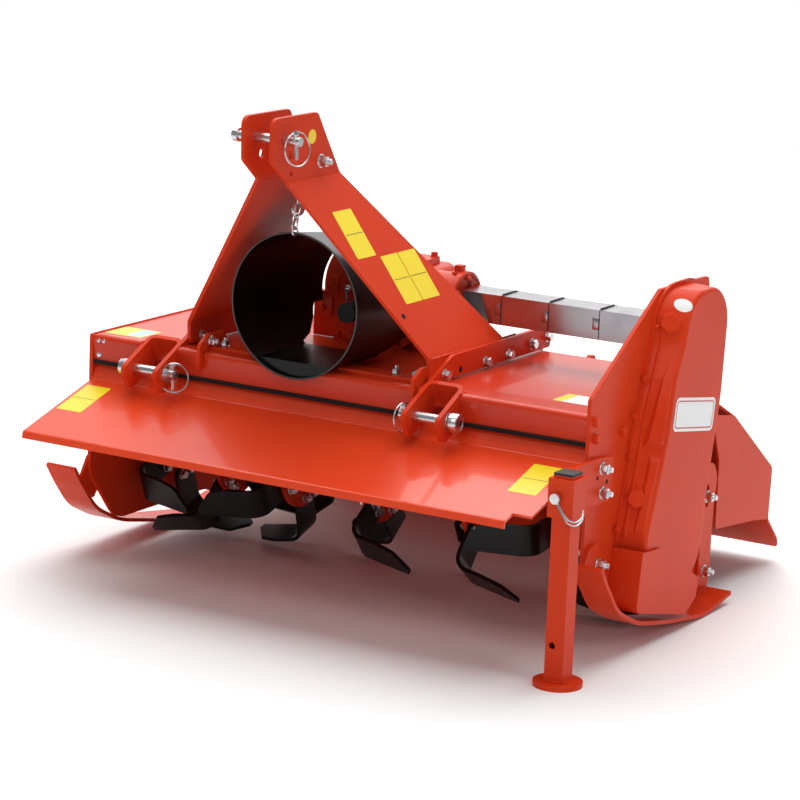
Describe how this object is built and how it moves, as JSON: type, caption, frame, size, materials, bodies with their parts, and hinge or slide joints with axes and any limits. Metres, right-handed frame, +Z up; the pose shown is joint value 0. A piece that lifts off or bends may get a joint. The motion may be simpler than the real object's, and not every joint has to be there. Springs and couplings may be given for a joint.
{
  "type": "three-point rotavator",
  "caption": "Compact tractor rotavator with three-point hitch, side chain drive, L-shaped blades, front guard, rear flap, side skids and a sliding parking stand.",
  "frame": {"origin": "on the floor under the centre of the whole machine's box", "axes": "+X across the machine towards the chain case, +Y towards the rear flap, +Z up"},
  "size_m": [1.346, 1.1792, 1.013],
  "materials": {
    "red_paint": "glossy orange-red paint",
    "zinc": "zinc plated",
    "galvanised": "galvanised sheet",
    "black_steel": "satin black paint",
    "black_plastic": "smooth black plastic",
    "steel": "bare machined steel"
  },
  "bodies": {
    "frame": {"deck": "red_paint", "front_crossbar": "red_paint", "left_side_plate": "red_paint", "right_side_plate": "red_paint", "left_tower_plate": "red_paint", "right_tower_plate": "red_paint", "left_clevis": "red_paint", "right_clevis": "red_paint", "left_hitch_pin": "zinc", "right_hitch_pin": "zinc", "upper_hitch_pin": "zinc", "front_guard": "red_paint", "left_skid": "red_paint", "right_skid": "red_paint", "stand_sleeve": "red_paint", "stand_pin": "zinc", "gearbox": "red_paint", "drive_tube": "steel", "shaft_cover": "galvanised", "chain_case": "red_paint", "chain_case_shield": "red_paint", "pto_guard": "black_plastic", "rotor_bearing": "red_paint", "hinge_rod": "red_paint"},
    "rotor": {"rotor_shaft": "red_paint", "left_turned_blades": "black_steel", "right_turned_blades": "black_steel"},
    "pto": {"input_shaft": "steel", "stub_cap": "black_plastic"},
    "stand": {"stand_leg": "red_paint", "stand_cap": "black_plastic"},
    "flap": {"rear_flap": "red_paint"}
  },
  "joints": [
    {"name": "rotor_spin", "type": "hinge", "parent": "frame", "child": "rotor", "pos_m": [-0.005, -0.07615, 0.2], "axis": [1, 0, 0], "continuous": true},
    {"name": "pto_spin", "type": "hinge", "parent": "frame", "child": "pto", "pos_m": [-0.083, -0.08614, 0.576], "axis": [0, 1, 0], "continuous": true},
    {"name": "stand_slide", "type": "slide", "parent": "frame", "child": "stand", "axis": [0, 0, 1], "range_m": [0, 0.29]},
    {"name": "flap_hinge", "type": "hinge", "parent": "frame", "child": "flap", "pos_m": [-0.005, 0.16986, 0.478], "axis": [1, 0, 0], "range_deg": [0, 50]}
  ],
  "couplings": [
    {"joint": "pto_spin", "follows": "rotor_spin", "ratio": 2.6}
  ]
}
